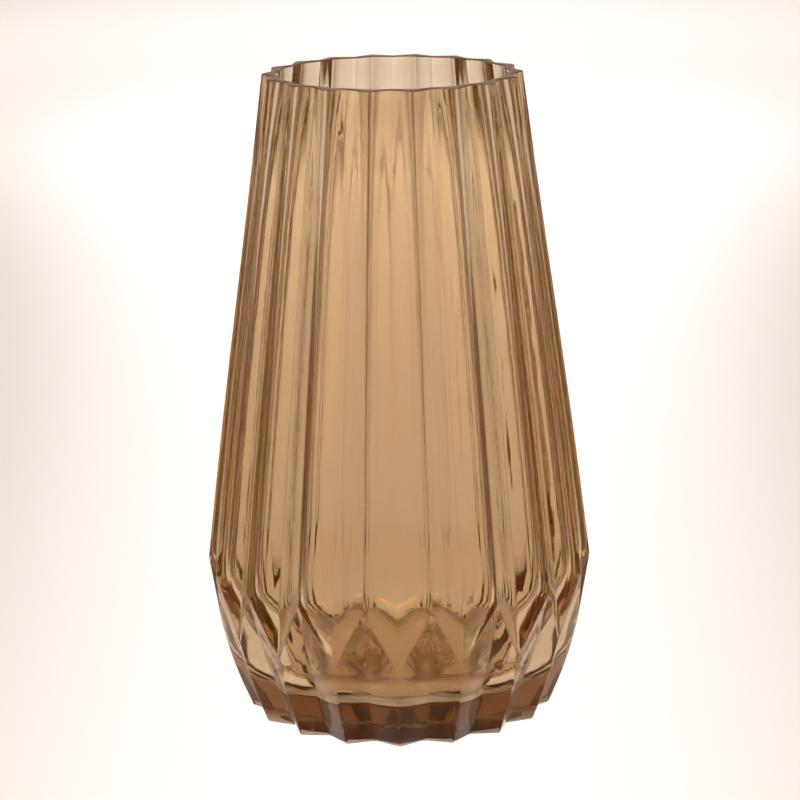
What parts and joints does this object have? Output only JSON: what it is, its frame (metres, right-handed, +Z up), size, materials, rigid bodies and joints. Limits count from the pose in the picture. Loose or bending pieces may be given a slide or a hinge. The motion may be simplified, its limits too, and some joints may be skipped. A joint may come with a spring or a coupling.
{
  "type": "glass vase",
  "caption": "Tall tapered vase in clear amber glass with sharp upright pleats, a zigzag shoulder, a faceted heel, a star-shaped foot and a flat ground rim.",
  "frame": {"origin": "centre of the footprint, on the surface that the vase stands on", "axes": "+Z up along the axis of the vase, towards the mouth; +X through a pleat ridge; -Y through a pleat valley, a shoulder triangle and a tip of the foot"},
  "size_m": [0.1508, 0.1486, 0.25],
  "materials": {
    "amber_glass": "clear, mould-blown and fire-polished",
    "ground_glass": "ground flat, satin"
  },
  "bodies": {
    "root": {"solid_base": "amber_glass", "faceted_heel": "amber_glass", "pleated_wall": "amber_glass", "ground_rim": "ground_glass"}
  },
  "joints": []
}
